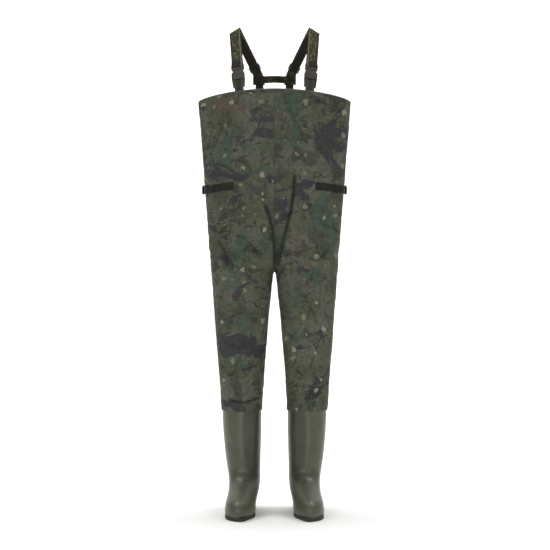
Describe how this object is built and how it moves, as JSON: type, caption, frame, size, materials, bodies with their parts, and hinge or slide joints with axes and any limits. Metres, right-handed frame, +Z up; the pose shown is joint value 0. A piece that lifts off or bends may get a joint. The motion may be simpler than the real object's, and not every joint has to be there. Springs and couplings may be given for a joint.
{
  "type": "chest waders",
  "caption": "Chest waders with moulded boots, camouflage cloth shell, waist adjusters and buckled shoulder straps on a yoke",
  "frame": {"origin": "on the ground, midway between the two boots and midway along their length", "axes": "-Y is the way the wearer faces, +Z up, +X to the right as seen from the front; left_ and right_ in names are as seen from the front, so left_ pieces are at -X"},
  "size_m": [0.5102, 0.2986, 1.6091],
  "materials": {
    "camo_cloth": "woven nylon in a muted woodland camouflage, matt",
    "hem_cloth": "folded and stitched edge of the same cloth",
    "seam_tape": "thin welded waterproof tape",
    "boot_rubber": "moulded olive PVC, satin",
    "sole_rubber": "moulded dark rubber, cleated",
    "insole_foam": "felted foam",
    "strap_webbing": "wide elastic webbing, dark olive with a pale line near each edge",
    "yoke_webbing": "dark brown webbing, box-stitched",
    "tab_webbing": "dark olive webbing",
    "waist_webbing": "near-black green webbing",
    "buckle_plastic": "moulded acetal, dark brown-black, fine matt texture"
  },
  "bodies": {
    "garment": {"back_seam_tape": "seam_tape", "front_seam_tape": "seam_tape", "hem_binding": "hem_cloth", "left_back_panel": "camo_cloth", "left_back_strap": "yoke_webbing", "left_bib_tab": "tab_webbing", "left_boot": "boot_rubber", "left_buckle_socket": "buckle_plastic", "left_front_panel": "camo_cloth", "left_front_strap": "strap_webbing", "left_insole": "insole_foam", "left_outsole": "sole_rubber", "left_rear_strap": "yoke_webbing", "left_side_seam_tape": "seam_tape", "left_waist_anchor": "waist_webbing", "left_waist_strap": "waist_webbing", "left_yoke_patch": "yoke_webbing", "right_back_panel": "camo_cloth", "right_back_strap": "yoke_webbing", "right_bib_tab": "tab_webbing", "right_boot": "boot_rubber", "right_buckle_socket": "buckle_plastic", "right_front_panel": "camo_cloth", "right_front_strap": "strap_webbing", "right_insole": "insole_foam", "right_outsole": "sole_rubber", "right_rear_strap": "yoke_webbing", "right_side_seam_tape": "seam_tape", "right_waist_anchor": "waist_webbing", "right_waist_strap": "waist_webbing", "right_yoke_patch": "yoke_webbing", "yoke_crossbar": "yoke_webbing"},
    "left_clip": {"left_buckle_clip": "buckle_plastic"},
    "left_inner_catch": {"left_inner_prong": "buckle_plastic"},
    "left_outer_catch": {"left_outer_prong": "buckle_plastic"},
    "left_slider": {"left_rear_slider": "buckle_plastic"},
    "left_lock": {"left_waist_lock": "buckle_plastic", "left_waist_tail": "waist_webbing"},
    "right_clip": {"right_buckle_clip": "buckle_plastic"},
    "right_inner_catch": {"right_inner_prong": "buckle_plastic"},
    "right_outer_catch": {"right_outer_prong": "buckle_plastic"},
    "right_slider": {"right_rear_slider": "buckle_plastic"},
    "right_lock": {"right_waist_lock": "buckle_plastic", "right_waist_tail": "waist_webbing"}
  },
  "joints": [
    {"name": "left_clip_release", "type": "slide", "parent": "garment", "child": "left_clip", "axis": [-0.0758, 0.219, 0.9728], "range_m": [0, 0.032], "deforming": ["left_front_strap", "left_inner_prong", "left_outer_prong"]},
    {"name": "left_inner_catch_squeeze", "type": "hinge", "parent": "left_clip", "child": "left_inner_catch", "pos_m": [-0.10765, -0.02733, 1.45843], "axis": [0.2103, 0.9572, -0.1991], "range_deg": [0, 10], "stiffness_Nm_per_rad": 0.4},
    {"name": "left_outer_catch_squeeze", "type": "hinge", "parent": "left_clip", "child": "left_outer_catch", "pos_m": [-0.13299, -0.0224, 1.45535], "axis": [-0.2103, -0.9572, 0.1991], "range_deg": [0, 10], "stiffness_Nm_per_rad": 0.4},
    {"name": "left_slider_travel", "type": "slide", "parent": "garment", "child": "left_slider", "axis": [-0.4101, -0.4923, 0.7677], "range_m": [-0.006, 0.07]},
    {"name": "left_lock_tilt", "type": "hinge", "parent": "garment", "child": "left_lock", "pos_m": [-0.23843, 0.04721, 1.0715], "axis": [0, 0, -1], "range_deg": [0, 30]},
    {"name": "right_clip_release", "type": "slide", "parent": "garment", "child": "right_clip", "axis": [0.0758, 0.219, 0.9728], "range_m": [0, 0.032], "deforming": ["right_front_strap", "right_inner_prong", "right_outer_prong"]},
    {"name": "right_inner_catch_squeeze", "type": "hinge", "parent": "right_clip", "child": "right_inner_catch", "pos_m": [0.10765, -0.02733, 1.45843], "axis": [0.2103, -0.9572, 0.1991], "range_deg": [0, 10], "stiffness_Nm_per_rad": 0.4},
    {"name": "right_outer_catch_squeeze", "type": "hinge", "parent": "right_clip", "child": "right_outer_catch", "pos_m": [0.13299, -0.0224, 1.45535], "axis": [-0.2103, 0.9572, -0.1991], "range_deg": [0, 10], "stiffness_Nm_per_rad": 0.4},
    {"name": "right_slider_travel", "type": "slide", "parent": "garment", "child": "right_slider", "axis": [0.4101, -0.4923, 0.7677], "range_m": [-0.006, 0.07]},
    {"name": "right_lock_tilt", "type": "hinge", "parent": "garment", "child": "right_lock", "pos_m": [0.23843, 0.04721, 1.0715], "axis": [0, 0, 1], "range_deg": [0, 30]}
  ],
  "couplings": [
    {"joint": "left_outer_catch_squeeze", "follows": "left_inner_catch_squeeze", "ratio": 1},
    {"joint": "right_outer_catch_squeeze", "follows": "right_inner_catch_squeeze", "ratio": 1}
  ]
}
